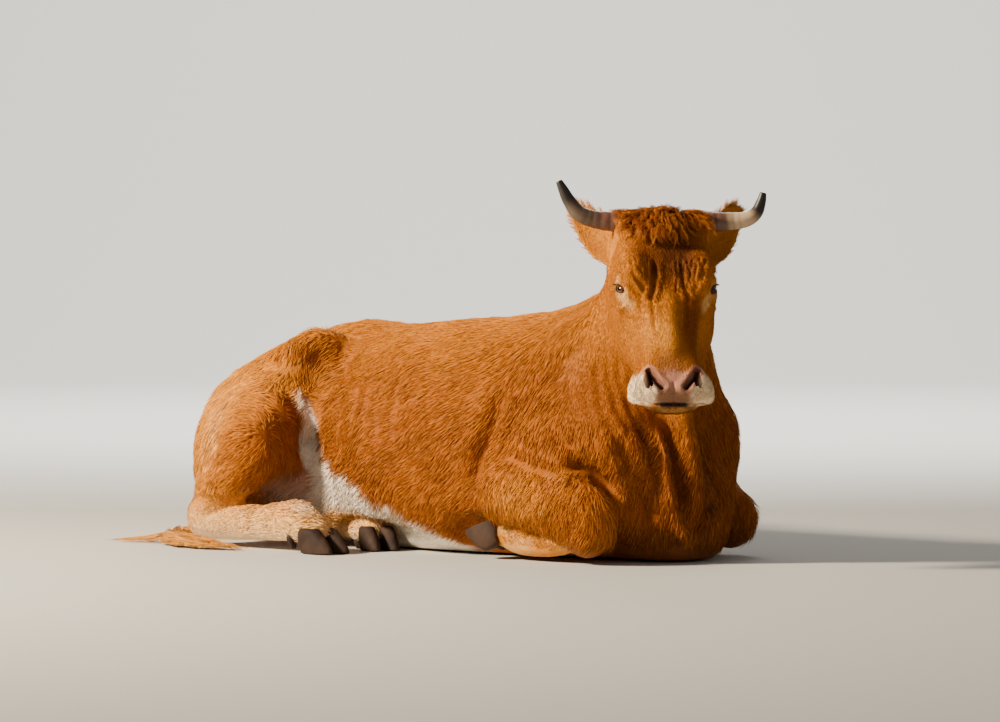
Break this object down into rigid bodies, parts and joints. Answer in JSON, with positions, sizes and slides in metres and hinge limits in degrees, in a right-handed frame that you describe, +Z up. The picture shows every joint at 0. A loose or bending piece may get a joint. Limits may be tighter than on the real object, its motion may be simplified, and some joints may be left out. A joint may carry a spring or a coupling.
{
  "type": "ox",
  "caption": "Chestnut ox lying on its chest with its legs folded, head up and turned to its right, short horns curving upwards, life-size.",
  "frame": {"origin": "middle of the bottom of the bounding box, on the ground that the ox lies on", "axes": "+X from the rump to the brisket, +Y to the ox's own left, +Z up"},
  "size_m": [1.8178, 0.9624, 0.8856],
  "materials": {
    "coat": "short flat chestnut hair, paler on the legs and round the eyes, white on the belly",
    "pale_hair": "short cream-yellow hair of the lower legs",
    "long_hair": "longer curly hair of the poll and the tail's switch",
    "horn": "grey-brown ringed horn with dark tips",
    "hoof": "dull grey-brown hoof horn",
    "eye": "wet dark brown eyeball"
  },
  "bodies": {
    "root": {"ear_left": "coat", "ear_right": "coat", "eye_left": "eye", "eye_right": "eye", "foreclaw_left_inner": "hoof", "foreclaw_left_outer": "hoof", "foreclaw_right_inner": "hoof", "foreclaw_right_outer": "hoof", "foredewclaw_left_inner": "hoof", "foredewclaw_left_outer": "hoof", "foredewclaw_right_inner": "hoof", "foredewclaw_right_outer": "hoof", "foreleg_left_lower": "pale_hair", "foreleg_left_upper": "coat", "foreleg_right_lower": "pale_hair", "foreleg_right_upper": "coat", "forelock": "long_hair", "head": "coat", "hindclaw_left_inner": "hoof", "hindclaw_left_outer": "hoof", "hindclaw_right_inner": "hoof", "hindclaw_right_outer": "hoof", "hinddewclaw_left_inner": "hoof", "hinddewclaw_left_outer": "hoof", "hinddewclaw_right_inner": "hoof", "hinddewclaw_right_outer": "hoof", "hindleg_left_lower": "pale_hair", "hindleg_left_upper": "coat", "hindleg_right_lower": "pale_hair", "hindleg_right_upper": "coat", "horn_left": "horn", "horn_right": "horn", "neck": "coat", "tail": "coat", "tail_switch": "long_hair", "torso": "coat"}
  },
  "joints": []
}
